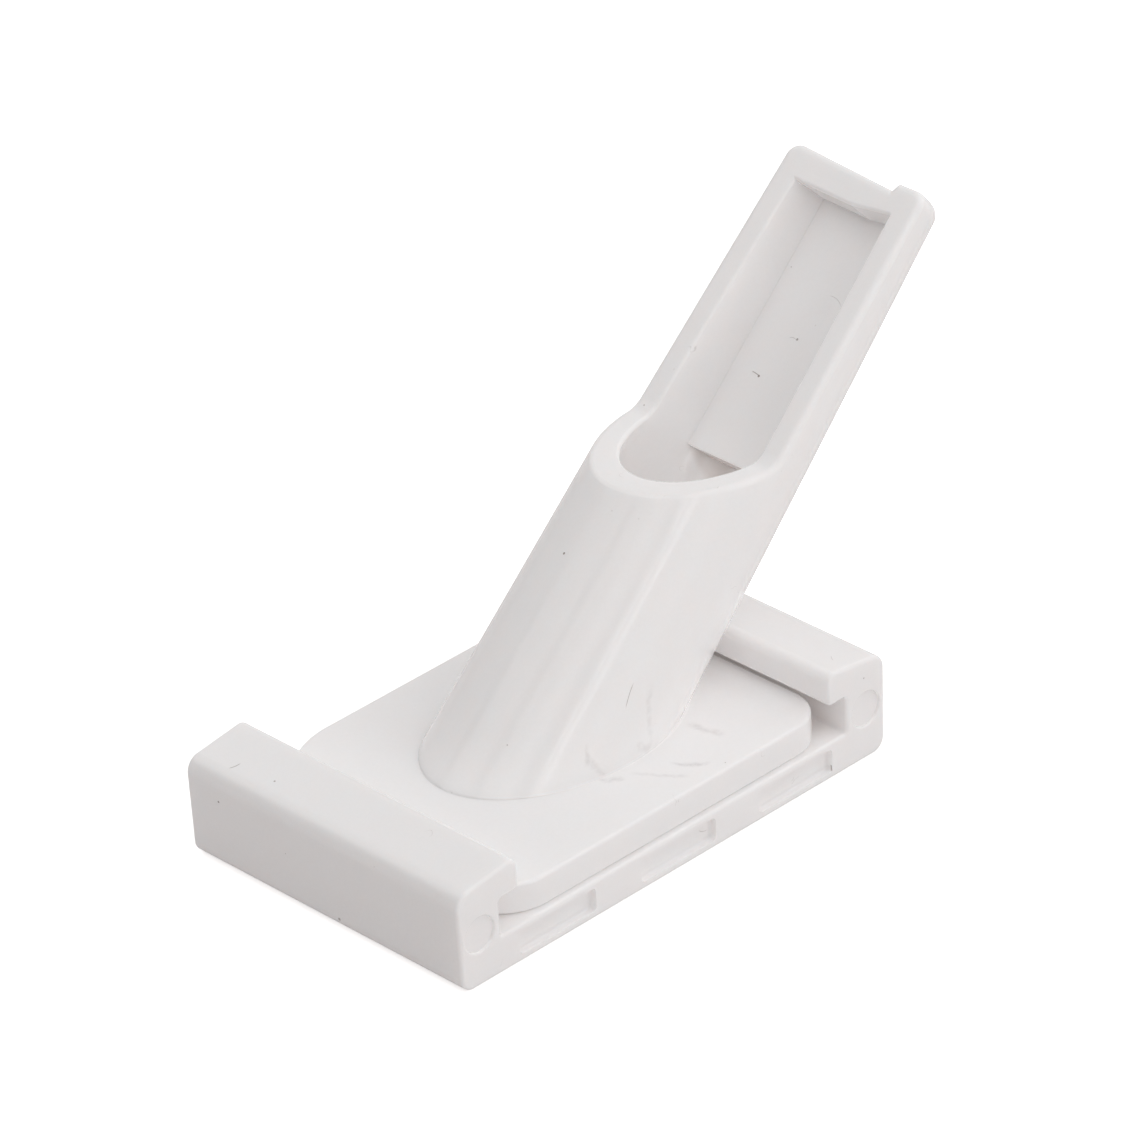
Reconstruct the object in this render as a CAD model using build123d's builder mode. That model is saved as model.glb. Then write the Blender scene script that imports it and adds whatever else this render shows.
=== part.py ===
from build123d import *

import os
from math import atan, cos, hypot, radians, sin

# Inclined chute on a slide plate that runs in a flat base with two overhanging rails.
# Origin: centre of the base's underside. +X is the way the chute leans, -Y is the open
# front of the slot, +Z is up. All sizes are in millimetres.

# ---- rail base ----
base_length = 60.0
base_depth = 38.8
floor_height = 4.25
slot_width = 49.2
lip_gap = 43.9
lip_underside = 8.5
rail_outer_height = 11.2
rail_inner_height = 12.3
side_flare = 0.3
bottom_round = 1.5
rail_top_round = 1.8
lip_top_round = 1.0
lip_bottom_round = 0.6
slot_corner_round = 0.4
end_edge_round = 0.4

pocket_length = 10.6
pocket_bottom = 0.85
pocket_top = 3.5
pocket_depth = 0.8
pocket_corner_round = 0.5
pocket_inner_round = 0.4
pocket_spacing = 16.95
pocket_count = 3

ejector_mark_diameter = 4.0
ejector_mark_depth = 0.35
ejector_mark_round = 0.2
ejector_mark_height = 5.8
ejector_mark_inset = 2.6

# ---- slide plate ----
plate_left = -24.0
plate_right = 22.9
plate_front = -18.8
plate_back = 17.5
slide_clearance = 0.05
plate_thickness = 3.5
front_left_round = 6.5
front_right_round = 4.8
back_left_round = 11.0
back_right_round = 4.8
plate_edge_round = 0.4

# ---- chute tube ----
foot_x = 2.45
tilt = 44.0
foot_radius = 10.9
tube_taper = 0.0245
tube_end = 63.9
mouth_height = 31.35
bore_radius_at_ledge = 7.45
bore_taper = 0.035
ledge = 32.0
trough_floor_at_ledge = -4.5
trough_floor_slope = 0.0206
rim_at_ledge = 1.18
rim_slope = -0.032
rim_junction_round = 3.0
end_wall_left = 60.9
end_wall_middle = 60.5
end_wall_right = 61.1
end_wall_knee = -1.5
end_face_slant = 0.066
end_lug_start = -5.0
end_lug_lean = 0.4
end_lug_level = 64.5
spigot_radius = 9.9
spigot_gap = 0.1
end_corner_round = 1.5
rim_outer_round = 0.7
rim_inner_round = 0.35

plate_bottom = floor_height + slide_clearance
plate_top = plate_bottom + plate_thickness
half_length = base_length / 2
half_depth = base_depth / 2
reach = 100.0
touch = 0.1
cone_start = -2 * foot_radius
cone_end = tube_end + 2
trough_end = max(end_wall_left, end_wall_right)

lean = radians(tilt)
axis_direction = (cos(lean), 0, sin(lean))
foot_centre = (foot_x, 0, plate_top)

# Plane across the tube's axis at the foot: its X points to the tube's closed underside.
tube_frame = Plane(
    origin=foot_centre, x_dir=(sin(lean), 0, -cos(lean)), z_dir=axis_direction
)
# Plan of the trough: its X runs across the tube, its Y runs up the tube.
trough_plan = Plane(origin=foot_centre, x_dir=(0, 1, 0), z_dir=(sin(lean), 0, -cos(lean)))


def outer_radius(along):
    """Outer radius of the tube at a distance along its axis."""
    return foot_radius - tube_taper * along


def bore_radius(along):
    """Radius of the bore and of the trough's curved walls."""
    return bore_radius_at_ledge - bore_taper * (along - ledge)


def side_point(along, open_side):
    """Side view (X, Z) of a point given along the tube's axis and towards its open side."""
    return (
        foot_x + along * cos(lean) - open_side * sin(lean),
        plate_top + along * sin(lean) + open_side * cos(lean),
    )


def rim_level(along):
    """How far the trough's rim stands from the axis, towards the open side."""
    return rim_at_ledge + rim_slope * (along - ledge)


def corner_at(sketch, x, y):
    """The sketch corner nearest to a point."""
    return sketch.vertices().sort_by_distance((x, y, 0))[0]


def along_tube(shape):
    """Distance of a shape's centre from the foot, along the tube's axis."""
    return (shape.center() - Vector(*foot_centre)).dot(Vector(*axis_direction))


def is_rim_face(face):
    """Whether a face is part of the mouth or of the trough's rim, which look up and back."""
    normal = face.normal_at()
    looks_up_and_back = normal.Z > 0.5 and normal.X < touch
    above_mouth = face.center().Z > mouth_height - touch
    return face.geom_type != GeomType.CONE and looks_up_and_back and above_mouth


def is_rim_seam(edge):
    """Whether an edge is a straight join between the mouth, the bend and the trough's rim."""
    return edge.geom_type == GeomType.LINE and along_tube(edge) < end_wall_middle - rim_outer_round


def side_view(point):
    """Distances of a point along the tube's axis, and off it towards the open side."""
    run = point.X - foot_x
    rise = point.Z - plate_top
    return run * cos(lean) + rise * sin(lean), rise * cos(lean) - run * sin(lean)


def is_inner_rim(edge):
    """Whether an edge lies on the rim and borders the hollow."""
    middle = edge @ 0.5
    along, open_side = side_view(middle)
    on_rim = 0 < along < trough_end + touch and open_side > rim_level(along) - touch
    off_axis = hypot(open_side, middle.Y)
    return on_rim and off_axis < (outer_radius(along) + bore_radius(along)) / 2


# ---- rail base: floor and two lipped rails in one moulding ----
rail_corners = [
    (half_length, 0, bottom_round),
    (half_length + side_flare, rail_outer_height, rail_top_round),
    (lip_gap / 2, rail_inner_height, lip_top_round),
    (lip_gap / 2, lip_underside, lip_bottom_round),
    (slot_width / 2, lip_underside, slot_corner_round),
    (slot_width / 2, floor_height, slot_corner_round),
]

with BuildPart() as rail_base:
    with BuildSketch(Plane.XZ) as channel:
        with BuildLine():
            Polyline((0, 0), *[(x, z) for x, z, _ in rail_corners], (0, floor_height), close=True)
        make_face()
        mirror(about=Plane.YZ)
        for x, z, radius in rail_corners:
            for side in (-1, 1):
                fillet(corner_at(channel, side * x, z), radius)
    extrude(amount=half_depth, both=True)

    # Soft edges around both end faces of the channel
    end_faces = rail_base.faces().filter_by(GeomType.PLANE).group_by(Axis.Y)
    fillet(end_faces[0].edges() + end_faces[-1].edges(), end_edge_round)

    # Three shallow pockets in the front edge
    front = Plane.XZ.offset(half_depth)
    with BuildSketch(front):
        with Locations((0, (pocket_bottom + pocket_top) / 2)):
            with GridLocations(pocket_spacing, 1, pocket_count, 1):
                RectangleRounded(pocket_length, pocket_top - pocket_bottom, pocket_corner_round)
    extrude(amount=-pocket_depth, mode=Mode.SUBTRACT)
    pocket_floor_y = pocket_depth - half_depth
    pocket_floors = rail_base.faces().filter_by_position(
        Axis.Y, pocket_floor_y - touch, pocket_floor_y + touch
    )
    fillet(pocket_floors.edges(), pocket_inner_round)

    # Round ejector-pin marks on the ends of both rails
    mark_spacing = base_length - 2 * ejector_mark_inset
    with BuildSketch(front):
        with Locations((0, ejector_mark_height)):
            with GridLocations(mark_spacing, 1, 2, 1):
                Circle(ejector_mark_diameter / 2)
    extrude(amount=-ejector_mark_depth, mode=Mode.SUBTRACT)
    mark_edges = rail_base.edges(Select.LAST).filter_by(GeomType.CIRCLE)
    fillet(mark_edges.group_by(Axis.Y)[0], ejector_mark_round)

rail_base.part.label = "rail_base"

# ---- slide plate: rounded plate under both lips, with a slanted hole for the tube ----
plate_corners = [
    (plate_left, plate_front, front_left_round),
    (plate_right, plate_front, front_right_round),
    (plate_right, plate_back, back_right_round),
    (plate_left, plate_back, back_left_round),
]


def foot_ellipse(radius):
    """The slanted tube's section in a level plane."""
    Ellipse(radius / sin(lean), radius)


with BuildPart() as slide_plate:
    with BuildSketch(Plane.XY.offset(plate_bottom)) as outline:
        with BuildLine():
            Polyline(*[(x, y) for x, y, _ in plate_corners], close=True)
        make_face()
        for x, y, radius in plate_corners:
            fillet(corner_at(outline, x, y), radius)
    extrude(amount=plate_thickness)
    level_faces = slide_plate.faces().group_by(Axis.Z)
    fillet(level_faces[0].edges() + level_faces[-1].edges(), plate_edge_round)

    with BuildSketch(Plane(foot_centre)):
        foot_ellipse(spigot_radius + spigot_gap)
    extrude(amount=2 * plate_thickness, both=True, dir=axis_direction, mode=Mode.SUBTRACT)

slide_plate.part.label = "slide_plate"

# ---- hollow of the tube: tapered bore that continues as a trough over a flat, shallower floor ----
with BuildPart() as hollow:
    with Locations(tube_frame.offset(cone_start)):
        Cone(
            bore_radius(cone_start),
            bore_radius(tube_end),
            tube_end - cone_start,
            align=(Align.CENTER, Align.CENTER, Align.MIN),
        )

    # Flat floor, which ends in a ledge above the deeper bore
    floor_end = trough_floor_at_ledge + trough_floor_slope * (tube_end - ledge)
    with BuildSketch(Plane.XZ):
        with BuildLine():
            Polyline(
                side_point(ledge, trough_floor_at_ledge),
                side_point(tube_end, floor_end),
                side_point(tube_end, -foot_radius),
                side_point(ledge, -foot_radius),
                close=True,
            )
        make_face()
    extrude(amount=foot_radius, both=True, mode=Mode.SUBTRACT)

    # Inner face of the end wall, which is thinner towards the front
    with BuildSketch(trough_plan):
        with BuildLine():
            Polyline(
                (foot_radius, end_wall_left),
                (end_wall_knee, end_wall_middle),
                (-bore_radius(end_wall_right), end_wall_right),
                (-foot_radius, end_wall_right),
                (-foot_radius, cone_end),
                (foot_radius, cone_end),
                close=True,
            )
        make_face()
    extrude(amount=foot_radius, both=True, mode=Mode.SUBTRACT)

# ---- chute tube: tapered round tube with a level mouth and an open trough above it ----
with BuildPart() as chute_tube:
    with Locations(tube_frame.offset(cone_start)):
        Cone(
            outer_radius(cone_start),
            outer_radius(cone_end),
            cone_end - cone_start,
            align=(Align.CENTER, Align.CENTER, Align.MIN),
        )

    # Below the plate's top only a spigot is left, which fills the plate's slanted hole
    with BuildSketch(Plane(foot_centre)):
        Rectangle(reach, reach)
        Ellipse(spigot_radius / sin(lean), spigot_radius, mode=Mode.SUBTRACT)
    extrude(amount=-reach / 2, dir=axis_direction, mode=Mode.SUBTRACT)
    split(bisect_by=Plane.XY.offset(plate_bottom + spigot_gap), keep=Keep.TOP)

    # Upper end: a slightly slanted end face, with the front wall standing a little proud
    wide = 2 * foot_radius
    with BuildSketch(trough_plan):
        with BuildLine():
            Polyline(
                (wide, tube_end + end_face_slant * wide),
                (end_lug_start, tube_end + end_face_slant * end_lug_start),
                (end_lug_start - end_lug_lean, end_lug_level),
                (-wide, end_lug_level),
                (-wide, reach),
                (wide, reach),
                close=True,
            )
        make_face()
    extrude(amount=wide, both=True, mode=Mode.SUBTRACT)
    outer_wall = chute_tube.faces().sort_by(SortBy.AREA)[-1]
    end_edges = outer_wall.edges().filter_by(lambda edge: along_tube(edge) > trough_end)
    fillet(end_edges, end_corner_round)

    # Level mouth and sloping rim of the trough, cut right across in side view
    slope = atan(rim_slope)
    rim_start = side_point(ledge, rim_level(ledge))
    rim_angle = lean + slope
    junction_run = (mouth_height - rim_start[1]) / sin(rim_angle)
    junction = (rim_start[0] + junction_run * cos(rim_angle), mouth_height)
    rim_far = (junction[0] + reach * cos(rim_angle), mouth_height + reach * sin(rim_angle))
    with BuildSketch(Plane.XZ) as open_side:
        with BuildLine():
            Polyline(
                (-reach, mouth_height), junction, rim_far, (-reach, rim_far[1]), close=True
            )
        make_face()
        fillet(corner_at(open_side, *junction), rim_junction_round)
    extrude(amount=wide, both=True, mode=Mode.SUBTRACT)
    rim_faces = chute_tube.faces().filter_by(is_rim_face)
    fillet(rim_faces.edges().filter_by(is_rim_seam, reverse=True), rim_outer_round)

    add(hollow.part, mode=Mode.SUBTRACT)
    rim_edges = chute_tube.faces().filter_by(is_rim_face).edges()
    inner_edges = rim_edges.filter_by(is_inner_rim).filter_by(is_rim_seam, reverse=True)
    fillet(inner_edges, rim_inner_round)

chute_tube.part.label = "chute_tube"

os.makedirs("parts", exist_ok=True)
for piece in (rail_base, slide_plate, chute_tube):
    export_step(piece.part, f"parts/{piece.part.label}.step")
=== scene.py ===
import math

import bpy
from mathutils import Matrix, Vector

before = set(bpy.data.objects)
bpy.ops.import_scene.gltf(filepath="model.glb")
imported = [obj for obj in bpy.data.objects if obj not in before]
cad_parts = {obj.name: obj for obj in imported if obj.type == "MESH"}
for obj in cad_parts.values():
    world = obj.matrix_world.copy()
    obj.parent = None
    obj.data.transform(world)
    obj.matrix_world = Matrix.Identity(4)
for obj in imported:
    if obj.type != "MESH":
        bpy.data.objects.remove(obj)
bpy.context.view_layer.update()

# ---------------------------------------------------------------- measures and directions
# Marks and shades are placed in mm in the frame of the CAD model. Lights and the camera are in metres.
MM = 0.001
TILT = math.radians(44.0)
AXIS = (math.cos(TILT), 0.0, math.sin(TILT))
FOOT = (2.45, 0.0, 7.8)
FOOT_RADIUS = 10.9
X = (1, 0, 0)
Y = (0, 1, 0)
UP = (0, 0, 1)
TROUGH_UP = (-0.7, 0.0, 0.7)

# ---------------------------------------------------------------- pattern sizes, in waves or cells per mm
BROAD_PATCHES = 0.13
GRAIN = 3.2
SPECK_CELLS = 0.33
LINT_LEVELS = 0.55
LINT_CELLS = 0.24
GLOSS_PATCHES = 0.22
RUB_BREAKS = 1.3
RUB_WOBBLE = 0.8
ORANGE_PEEL = 1.1
RIPPLE = 0.12
PAPER_FIBRES = 0.4

# ---------------------------------------------------------------- colours
GRAIN_GREY = (0.62, 0.61, 0.61)
SPECK_BROWN = (0.24, 0.19, 0.16)
LINT_GREY = (0.34, 0.31, 0.29)
DUST_BROWN = (0.20, 0.15, 0.12)
HAIR_BROWN = (0.24, 0.19, 0.17)
RUB_GREY = (0.40, 0.38, 0.38)
# Colour of the painted shade in the bore below the trough
THROAT_SHADE_BROWN = (0.60, 0.52, 0.47)
# Colour of the painted shade in the slots under the lips
SLOT_SHADE_BROWN = (0.58, 0.46, 0.40)
PAPER_DARK = (0.80, 0.775, 0.77)
PAPER_LIGHT = (0.82, 0.795, 0.79)
GLOW_TINT = (1.0, 0.95, 0.93)
WORLD_TINT = (1.0, 0.955, 0.945)

# ---------------------------------------------------------------- brightness and gloss
FLOOR_GLOW = 0.02
FLOOR_LIFT = 0.60
WORLD_STRENGTH = 0.20
# Glow of the painted highlight along the seam at the tube's foot
SEAM_HIGHLIGHT_GLOW = 0.06
GLOSS_BELOW = 0.04
GLOSS_ABOVE = 0.03
ROUGHEST = 0.265


# ---------------------------------------------------------------- small node builder
class Nodes:
    """Adds shader nodes one after another and links them."""

    def __init__(self, material):
        material.use_nodes = True
        self.tree = material.node_tree
        self.tree.nodes.clear()

    def add(self, kind, **settings):
        node = self.tree.nodes.new(kind)
        for key, value in settings.items():
            setattr(node, key, value)
        return node

    def put(self, socket, value):
        if isinstance(value, bpy.types.NodeSocket):
            self.tree.links.new(value, socket)
        else:
            socket.default_value = value

    def math(self, operation, a, b=0.0):
        node = self.add("ShaderNodeMath", operation=operation)
        self.put(node.inputs[0], a)
        self.put(node.inputs[1], b)
        return node.outputs[0]

    def product(self, *factors):
        total = factors[0]
        for factor in factors[1:]:
            total = self.math("MULTIPLY", total, factor)
        return total

    def vector(self, operation, a, b=(0, 0, 0)):
        node = self.add("ShaderNodeVectorMath", operation=operation)
        self.put(node.inputs[0], a)
        self.put(node.inputs[1], b)
        return node.outputs["Value" if operation in ("LENGTH", "DOT_PRODUCT") else "Vector"]

    def scaled(self, vector, factors):
        return self.vector("MULTIPLY", vector, factors)

    def part_along(self, vector, direction):
        return self.vector("DOT_PRODUCT", vector, direction)

    def joined(self, x, y, z):
        node = self.add("ShaderNodeCombineXYZ")
        for socket, value in zip(node.inputs, (x, y, z)):
            self.put(socket, value)
        return node.outputs[0]

    def object_place(self, factor):
        """Place on the object, in metres times a factor."""
        return self.scaled(self.add("ShaderNodeTexCoord").outputs["Object"], (factor, factor, factor))

    def noise(self, vector, scale, detail=3.0, rough=0.5, distortion=0.0):
        node = self.add("ShaderNodeTexNoise")
        self.put(node.inputs["Vector"], vector)
        self.put(node.inputs["Scale"], scale)
        self.put(node.inputs["Detail"], detail)
        self.put(node.inputs["Roughness"], rough)
        self.put(node.inputs["Distortion"], distortion)
        return node.outputs["Fac"], node.outputs["Color"]

    def cells(self, vector, scale):
        """Distance from the middle of the nearest cell, and two random values for that cell."""
        node = self.add("ShaderNodeTexVoronoi", feature="F1")
        self.put(node.inputs["Vector"], vector)
        self.put(node.inputs["Scale"], scale)
        pick = self.add("ShaderNodeSeparateColor")
        self.put(pick.inputs[0], node.outputs["Color"])
        return node.outputs["Distance"], pick.outputs[0], pick.outputs[1]

    def between(self, value, low, high, out_low=0.0, out_high=1.0):
        """A smooth step between two values."""
        node = self.add("ShaderNodeMapRange", interpolation_type="SMOOTHSTEP")
        self.put(node.inputs["Value"], value)
        self.put(node.inputs["From Min"], low)
        self.put(node.inputs["From Max"], high)
        self.put(node.inputs["To Min"], out_low)
        self.put(node.inputs["To Max"], out_high)
        return node.outputs["Result"]

    def mix(self, factor, a, b):
        node = self.add("ShaderNodeMix", data_type="RGBA")
        self.put(node.inputs["Factor"], factor)
        self.put(node.inputs["A"], a)
        self.put(node.inputs["B"], b)
        return node.outputs["Result"]

    def stroke(self, place, centre, along, normal, length, width, bend, strength):
        """A curved stroke on a surface: how strongly each place is covered by it."""
        along = Vector(along).normalized()
        across = Vector(normal).cross(along).normalized()
        away = self.vector("SUBTRACT", place, centre)
        u = self.part_along(away, tuple(along))
        v = self.part_along(away, tuple(across))
        off_line = self.math("SUBTRACT", v, self.product(u, u, bend))
        line = self.between(self.math("ABSOLUTE", off_line), 0.0, width, 1.0, 0.0)
        reach = self.between(self.vector("LENGTH", away), length * 0.25, length * 0.5, strength, 0.0)
        return self.product(line, reach)

    def bump(self, height, strength, distance, normal=None):
        node = self.add("ShaderNodeBump")
        self.put(node.inputs["Height"], height)
        self.put(node.inputs["Strength"], strength)
        self.put(node.inputs["Distance"], distance)
        if normal is not None:
            self.put(node.inputs["Normal"], normal)
        return node.outputs["Normal"]

    def finish(self, surface):
        output = self.add("ShaderNodeOutputMaterial")
        self.put(output.inputs["Surface"], surface)


def rgb(red, green, blue):
    return (red, green, blue, 1.0)


# ---------------------------------------------------------------- white moulded plastic
def mottled_tone(n, mm, warm, cool):
    """Broad warm and cool patches, and a fine grain."""
    broad, _ = n.noise(mm, BROAD_PATCHES, detail=4.0, rough=0.6, distortion=0.4)
    tone = n.mix(n.between(broad, 0.32, 0.68), rgb(*warm), rgb(*cool))
    grain, _ = n.noise(mm, GRAIN, detail=2.0, rough=0.7)
    return n.mix(n.between(grain, 0.25, 0.75, 0.0, 0.05), tone, rgb(*GRAIN_GREY))


def speck_mask(n, mm):
    """Dust specks: one small dot in a few of the cells, and a faint dot in some more."""
    distance, first, second = n.cells(mm, SPECK_CELLS)
    dot = n.between(distance, 0.020, 0.042, 1.0, 0.0)
    dark = n.product(dot, n.between(first, 0.86, 0.88))
    faint = n.product(dot, n.between(second, 0.70, 0.72, 0.0, 0.25))
    return n.math("MAXIMUM", dark, faint)


def lint_mask(n, mm):
    """Lint: short bits of the level lines of a noise, in a few spots."""
    level, _ = n.noise(mm, LINT_LEVELS, detail=1.0)
    off_level = n.math("ABSOLUTE", n.math("SUBTRACT", level, 0.5))
    line = n.between(off_level, 0.002, 0.007, 1.0, 0.0)
    distance, first, _ = n.cells(n.vector("ADD", mm, (50.0, 20.0, 80.0)), LINT_CELLS)
    spot = n.between(distance, 0.13, 0.19, 1.0, 0.0)
    return n.product(line, spot, n.between(first, 0.82, 0.84))


def throat_shade_mask(n, place, ledge, radius, start):
    """Painted shade on the bore's wall just below the trough's floor, where the ledge casts its shadow.
    """
    from_foot = n.vector("SUBTRACT", place, FOOT)
    along = n.part_along(from_foot, AXIS)
    off_axis = n.vector("SUBTRACT", from_foot, n.scaled(n.joined(along, along, along), AXIS))
    below = n.between(along, ledge, ledge + 0.15, 1.0, 0.0)
    inside = n.between(n.vector("LENGTH", off_axis), radius, radius + 0.3, 1.0, 0.0)
    deep = n.between(n.part_along(place, X), start, start + 0.8)
    return n.product(below, inside, deep)


def slot_shade_mask(n, place, half_width, top, deep, open_end):
    """Painted shade in the slots under the lips and on the floor between them, away from the open ends.
    """
    from_middle = n.math("ABSOLUTE", n.part_along(place, X))
    towards_end = n.math("ABSOLUTE", n.part_along(place, Y))
    between_walls = n.between(from_middle, half_width, half_width + 0.2, 1.0, 0.0)
    under_lip = n.between(n.part_along(place, UP), top, top + 0.3, 1.0, 0.0)
    away_from_end = n.between(towards_end, deep, open_end, 1.0, 0.0)
    return n.product(between_walls, under_lip, away_from_end)


def seam_highlight_glow(n, place):
    """Painted highlight: a thin glowing line along the seam where the tube meets the plate, on the front
    side.

    It has no lower bound, so the base's floor has it too, which shows when the plate has moved.
    """
    across_foot = n.part_along(n.vector("SUBTRACT", place, FOOT), (math.sin(TILT), 0, 0))
    towards_back = n.part_along(place, Y)
    from_axis = n.vector("LENGTH", n.joined(across_foot, towards_back, 0.0))
    off_ring = n.math("ABSOLUTE", n.math("SUBTRACT", from_axis, FOOT_RADIUS))
    near_ring = n.between(off_ring, 0.10, 0.22, 1.0, 0.0)
    low = n.between(n.part_along(place, UP), FOOT[2] + 0.15, FOOT[2] + 0.3, 1.0, 0.0)
    in_front = n.between(towards_back, -6.0, -1.0, SEAM_HIGHLIGHT_GLOW, 0.0)
    return n.product(near_ring, low, in_front)


def relief(n, mm, specks):
    """Orange peel, slow ripple and raised specks."""
    peel, _ = n.noise(mm, ORANGE_PEEL, detail=3.0, rough=0.55)
    normal = n.bump(peel, 0.06, 0.02 * MM)
    ripple, _ = n.noise(mm, RIPPLE, detail=1.0)
    normal = n.bump(ripple, 0.25, 0.25 * MM, normal)
    return n.bump(specks, 0.3, 0.05 * MM, normal)


def white_plastic(
    name, warm, cool, roughness, glow, offset, dots, hairs, smears, throat_shade=None, slot_shade=None
):
    """Moulded white plastic with dust, lint, rub marks, uneven gloss, painted deep shades and a painted
    seam highlight.
    """
    material = bpy.data.materials.new(name)
    n = Nodes(material)
    place = n.object_place(1 / MM)
    mm = n.vector("ADD", place, offset)
    tone = mottled_tone(n, mm, warm, cool)
    specks = speck_mask(n, mm)
    tone = n.mix(n.product(specks, 0.6), tone, rgb(*SPECK_BROWN))
    tone = n.mix(n.product(lint_mask(n, mm), 0.30), tone, rgb(*LINT_GREY))

    # Single dust grains and hairs lying on the surface
    for centre, radius, strength in dots:
        from_centre = n.vector("LENGTH", n.vector("SUBTRACT", place, centre))
        cover = n.between(from_centre, radius * 0.6, radius, strength, 0.0)
        tone = n.mix(cover, tone, rgb(*DUST_BROWN))
    for hair in hairs:
        tone = n.mix(n.stroke(place, *hair), tone, rgb(*HAIR_BROWN))

    # Uneven gloss
    gloss, _ = n.noise(mm, GLOSS_PATCHES, detail=5.0, rough=0.65)
    rough = n.between(gloss, 0.3, 0.7, roughness - GLOSS_BELOW, roughness + GLOSS_ABOVE)

    # Grey rub marks, soft and broken up
    broken, _ = n.noise(mm, RUB_BREAKS, detail=4.0, rough=0.7)
    broken = n.between(broken, 0.30, 0.62, 0.25, 1.0)
    _, wander = n.noise(mm, RUB_WOBBLE, detail=3.0)
    rubbed_place = n.vector("ADD", place, n.vector("SUBTRACT", wander, (0.5, 0.5, 0.5)))
    for smear in smears:
        rubbed = n.product(n.stroke(rubbed_place, *smear), broken)
        tone = n.mix(rubbed, tone, rgb(*RUB_GREY))
        rough = n.math("MINIMUM", n.math("ADD", rough, n.product(rubbed, 0.4)), ROUGHEST)

    # Painted deep shades and the painted highlight along the seam
    if throat_shade:
        # Painted shade: the bore's wall below the trough's floor is tinted darker and browner
        shade = throat_shade_mask(n, place, *throat_shade)
        tone = n.mix(n.product(shade, 0.30), tone, rgb(*THROAT_SHADE_BROWN))
    if slot_shade:
        # Painted shade: the slots are tinted darker and browner, and glow less
        shade = slot_shade_mask(n, place, *slot_shade)
        tone = n.mix(n.product(shade, 0.16), tone, rgb(*SLOT_SHADE_BROWN))
        glow = n.product(n.math("SUBTRACT", 1.0, n.product(shade, 0.3)), glow)
    # Painted highlight along the seam at the tube's foot, as extra glow
    glow = n.math("ADD", seam_highlight_glow(n, place), glow)

    shader = n.add("ShaderNodeBsdfPrincipled")
    n.put(shader.inputs["Base Color"], tone)
    n.put(shader.inputs["Roughness"], rough)
    n.put(shader.inputs["Normal"], relief(n, mm, specks))
    shader.inputs["IOR"].default_value = 1.5
    # A faint glow stands in for the light that the thin white plastic lets through
    n.put(shader.inputs["Emission Strength"], glow)
    shader.inputs["Emission Color"].default_value = rgb(*GLOW_TINT)
    shader.inputs["Subsurface Weight"].default_value = 0.5
    shader.inputs["Subsurface Radius"].default_value = (1.0, 0.9, 0.85)
    shader.inputs["Subsurface Scale"].default_value = 1.1 * MM
    n.finish(shader.outputs["BSDF"])
    return material


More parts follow.
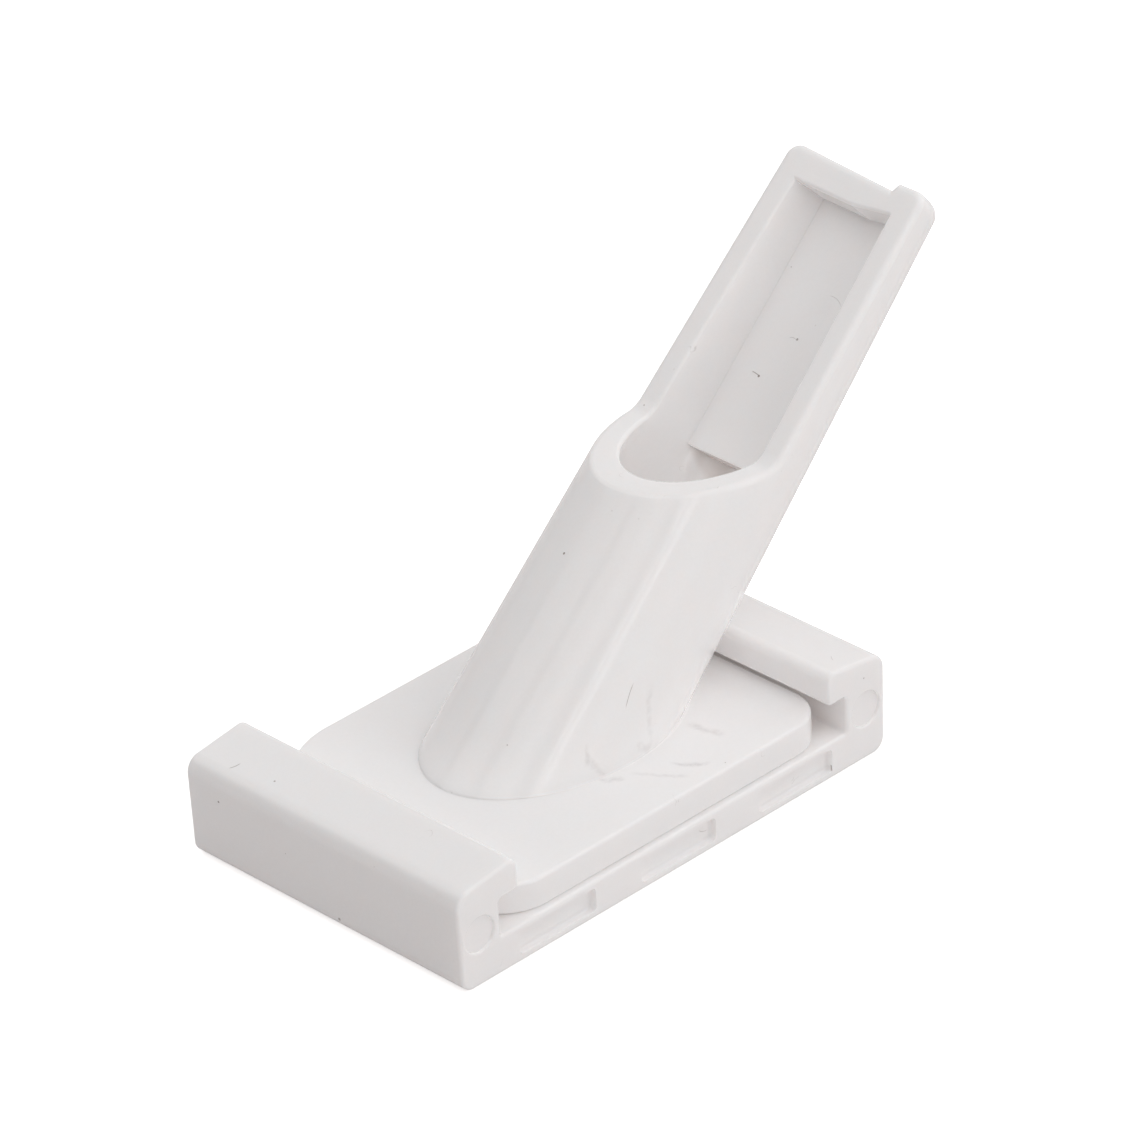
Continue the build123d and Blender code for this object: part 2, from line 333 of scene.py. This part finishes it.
# ---------------------------------------------------------------- looks of the three mouldings
# A dot is (centre, radius, strength). A hair or smear is (centre, along, normal, length, width,
# bend, strength). A painted throat shade is (ledge, radius, start). A painted slot shade is
# (half_width, top, deep, open_end).
LOOKS = {
    "rail_base": dict(
        warm=(0.981, 0.955, 0.950),
        cool=(0.972, 0.962, 0.963),
        roughness=0.235,
        glow=0.045,
        offset=(3.0, 11.0, 5.0),
        dots=[
            ((-27.5, 9.2, 11.6), 0.14, 0.6),
            ((-30.2, 14.8, 8.1), 0.15, 0.7),
            ((-30.2, 5.3, 6.0), 0.10, 0.4),
            ((-30.0, -1.9, 1.3), 0.20, 0.7),
        ],
        hairs=[
            ((-28.1, 14.3, 11.4), (1.2, -0.4, 0.2), UP, 1.5, 0.08, 0.25, 0.75),
            ((25.2, -16.9, 11.9), (-0.6, -0.9, 0.0), UP, 1.2, 0.07, 0.2, 0.3),
            ((22.2, -19.3, 1.2), (0.0, 0.1, 1.0), (-0.7, -0.7, 0.0), 0.8, 0.12, 0.0, 0.8),
            ((4.2, -18.6, 2.0), (1.0, 0.0, -0.4), (0.0, -1.0, 0.0), 1.5, 0.07, 0.4, 0.4),
        ],
        smears=[],
        # Painted shade in the slots under the lips
        slot_shade=(24.7, 8.5, 15.5, 18.8),
    ),
    "slide_plate": dict(
        warm=(0.981, 0.958, 0.954),
        cool=(0.973, 0.964, 0.967),
        roughness=0.225,
        glow=0.045,
        offset=(41.0, 7.0, 19.0),
        dots=[((8.5, -17.9, 7.8), 0.10, 0.4)],
        hairs=[],
        smears=[
            ((11.6, -12.0, 7.8), (0.2, -1.0, 0.0), UP, 5.2, 0.80, 0.06, 0.26),
            ((5.9, -15.6, 7.8), (0.7, -0.7, 0.0), UP, 4.6, 0.55, 0.10, 0.34),
            ((2.5, -14.7, 7.8), (0.6, -0.8, 0.0), UP, 6.8, 0.50, 0.02, 0.20),
            ((-1.2, -11.6, 7.8), (0.8, -0.6, 0.0), UP, 2.8, 0.60, 0.0, 0.24),
        ],
    ),
    "chute_tube": dict(
        warm=(0.980, 0.951, 0.943),
        cool=(0.964, 0.960, 0.962),
        roughness=0.08,
        glow=0.062,
        offset=(23.0, 31.0, 2.0),
        dots=[
            ((6.0, 1.3, 25.8), 0.17, 0.9),
            ((35.2, 1.9, 33.4), 0.17, 0.85),
            ((38.7, -0.3, 37.0), 0.16, 0.7),
            ((13.4, -9.2, 11.3), 0.20, 0.4),
        ],
        hairs=[
            ((3.4, -9.8, 14.8), (-1.5, -0.3, -2.1), (-0.3, -0.9, 0.3), 3.0, 0.07, 0.05, 0.6),
            ((35.3, 2.4, 33.5), (0.1, 1.0, 0.1), TROUGH_UP, 1.3, 0.09, 0.1, 0.8),
            ((38.7, 0.2, 37.0), (0.0, 1.0, 0.0), TROUGH_UP, 1.3, 0.07, 0.6, 0.4),
            ((42.5, -2.4, 40.8), (0.4, 1.9, 0.4), TROUGH_UP, 2.4, 0.07, 0.25, 0.35),
        ],
        smears=[
            ((5.1, -10.6, 11.8), (0.1, 0.1, 1.0), (-0.1, -1.0, 0.1), 8.0, 0.60, -0.06, 0.16),
            ((4.2, -10.9, 8.6), (0.7, -0.1, -0.4), (0.0, -1.0, 0.0), 3.6, 0.80, 0.0, 0.18),
            ((-1.9, -10.4, 8.8), (0.5, -0.3, -0.8), (-0.3, -0.9, 0.2), 3.8, 0.60, 0.0, 0.20),
            ((-2.5, -9.6, 10.4), (-0.3, -0.2, -0.9), (-0.3, -0.9, 0.3), 3.0, 0.50, 0.0, 0.22),
        ],
        # Painted shade in the bore below the trough: (ledge, radius, start)
        throat_shade=(32.05, 8.0, 28.2),
    ),
}
for node_name, look in LOOKS.items():
    plastic = white_plastic(node_name + "_plastic", **look)
    for material_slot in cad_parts[node_name].material_slots:
        material_slot.material = plastic


# ---------------------------------------------------------------- floor
def pale_floor(half_size=20.0, drop=0.05 * MM):
    """A plain pale floor just under the object, brighter to the camera than to the object."""
    mesh = bpy.data.meshes.new("floor")
    corners = [(x * half_size, y * half_size, 0) for x, y in ((-1, -1), (1, -1), (1, 1), (-1, 1))]
    mesh.from_pydata(corners, [], [(0, 1, 2, 3)])
    floor = bpy.data.objects.new("floor", mesh)
    floor.location.z = -drop
    bpy.context.scene.collection.objects.link(floor)
    material = bpy.data.materials.new("floor_paper")
    n = Nodes(material)
    paper = n.add("ShaderNodeBsdfDiffuse")
    fibre, _ = n.noise(n.object_place(PAPER_FIBRES / MM), 1.0)
    n.put(paper.inputs["Color"], n.mix(fibre, rgb(*PAPER_DARK), rgb(*PAPER_LIGHT)))
    lift = n.add("ShaderNodeEmission")
    seen = n.add("ShaderNodeLightPath").outputs["Is Camera Ray"]
    n.put(lift.inputs["Strength"], n.between(seen, 0.0, 1.0, FLOOR_GLOW, FLOOR_GLOW + FLOOR_LIFT))
    both = n.add("ShaderNodeAddShader")
    n.put(both.inputs[0], paper.outputs[0])
    n.put(both.inputs[1], lift.outputs[0])
    n.finish(both.outputs[0])
    mesh.materials.append(material)


pale_floor()

# ---------------------------------------------------------------- lights
LIT_POINT = Vector((10, 0, 20)) * MM
BOX_DISTANCE = 1.1
BOX_SIZE = 1.0
STRIP_DISTANCE = 0.9
STRIP_LENGTH = 0.5
EDGE_LIGHT_SIZE = 0.18


def softbox(name, direction, distance, width, height, radiance, long_axis=UP):
    """An area light that faces the object, with a given brightness over its face."""
    data = bpy.data.lights.new(name, "AREA")
    data.shape = "RECTANGLE"
    data.size = width
    data.size_y = height
    data.energy = radiance * math.pi * width * height
    light = bpy.data.objects.new(name, data)
    bpy.context.scene.collection.objects.link(light)
    back = Vector(direction).normalized()
    across = Vector(long_axis).cross(back).normalized()
    turn = Matrix((across, back.cross(across), back)).transposed().to_4x4()
    light.matrix_world = Matrix.Translation(LIT_POINT + back * distance) @ turn


# Large soft boxes: name, direction, brightness
for name, direction, radiance in (
    ("right", (1.0, 0.0, 0.45), 0.65),
    ("front", (0.0, -1.0, 0.45), 0.83),
    ("back", (0.0, 1.0, 0.45), 0.40),
    ("back_right", (1.0, 1.0, 0.6), 0.30),
    ("top_left", (-0.30, -0.30, 0.9), 0.60),
    ("top_right", (0.45, -0.35, 0.9), 0.70),
    ("top_back", (-0.3, 0.4, 0.9), 0.70),
):
    softbox(name, direction, BOX_DISTANCE, BOX_SIZE, BOX_SIZE, radiance)

# Strips along the tube, which give its long reflections: name, direction, width, brightness
for name, direction, width, radiance in (
    ("streak_crisp", (-0.29, -0.825, 0.475), 0.08, 1.3),
    ("streak_core", (-0.35, -0.76, 0.53), 0.02, 2.0),
    ("streak_soft", (-0.53, -0.42, 0.735), 0.20, 0.30),
):
    softbox(name, direction, STRIP_DISTANCE, width, STRIP_LENGTH, radiance, long_axis=AXIS)

# A small light that catches the plate's front edge and the mouth's rim
softbox("edge_light", (0.59, -0.51, 0.63), STRIP_DISTANCE, EDGE_LIGHT_SIZE, EDGE_LIGHT_SIZE, 4.0)

world = bpy.data.worlds.new("studio")
bpy.context.scene.world = world
world.use_nodes = True
background = world.node_tree.nodes["Background"]
background.inputs["Color"].default_value = rgb(*WORLD_TINT)
background.inputs["Strength"].default_value = WORLD_STRENGTH

# ---------------------------------------------------------------- camera
CAMERA_AZIMUTH = math.radians(-43.441)
CAMERA_ELEVATION = math.radians(30.618)
CAMERA_ROLL = math.radians(-2.986)
CAMERA_DISTANCE = 0.74156
CAMERA_TARGET = Vector((8.917, 4.634, 22.102)) * MM
CAMERA_LENS = 235.50
SENSOR_WIDTH = 36.0


def set_camera():
    """Places the camera from its angles, its target and its distance."""
    outwards = Vector((math.sin(CAMERA_AZIMUTH), -math.cos(CAMERA_AZIMUTH), 0.0))
    back = outwards * math.cos(CAMERA_ELEVATION) + Vector(UP) * math.sin(CAMERA_ELEVATION)
    level = Vector((math.cos(CAMERA_AZIMUTH), math.sin(CAMERA_AZIMUTH), 0.0))
    above = back.cross(level)
    right = level * math.cos(CAMERA_ROLL) + above * math.sin(CAMERA_ROLL)
    up = above * math.cos(CAMERA_ROLL) - level * math.sin(CAMERA_ROLL)
    data = bpy.data.cameras.new("camera")
    data.lens = CAMERA_LENS
    data.sensor_width = SENSOR_WIDTH
    data.clip_start = 0.01
    data.clip_end = 100.0
    camera = bpy.data.objects.new("camera", data)
    bpy.context.scene.collection.objects.link(camera)
    turn = Matrix((right, up, back)).transposed().to_4x4()
    camera.matrix_world = Matrix.Translation(CAMERA_TARGET + back * CAMERA_DISTANCE) @ turn
    bpy.context.scene.camera = camera


set_camera()
bpy.context.scene.view_settings.view_transform = "Standard"
